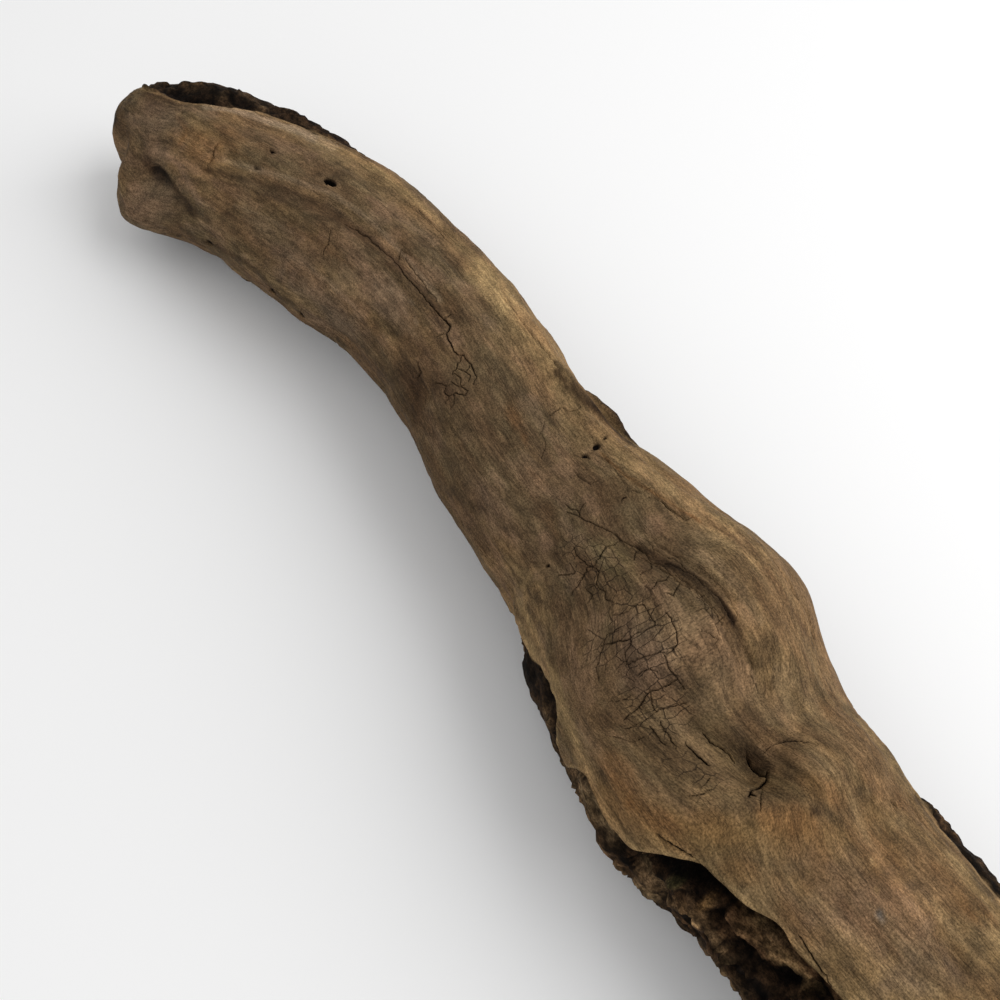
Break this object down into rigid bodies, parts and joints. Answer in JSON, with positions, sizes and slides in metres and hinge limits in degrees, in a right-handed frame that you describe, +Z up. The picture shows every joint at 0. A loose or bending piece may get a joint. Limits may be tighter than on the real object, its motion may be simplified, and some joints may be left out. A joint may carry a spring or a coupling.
{
  "type": "piece of driftwood",
  "caption": "Weathered branch of driftwood with a knuckled thin end, a swollen burl, a broken thick end and a rotted belly that it lies on.",
  "frame": {"origin": "middle of the underside of the part's bounding box, on the surface that the wood lies on", "axes": "+X along the wood towards the broken thick end, +Y towards the side that the burl bulges out on, +Z up from the rotted belly to the sound crown"},
  "size_m": [0.5191, 0.1168, 0.0728],
  "materials": {
    "weathered_wood": "matt, weathered grey-brown, darker where rotted"
  },
  "bodies": {
    "root": {"driftwood": "weathered_wood"}
  },
  "joints": []
}
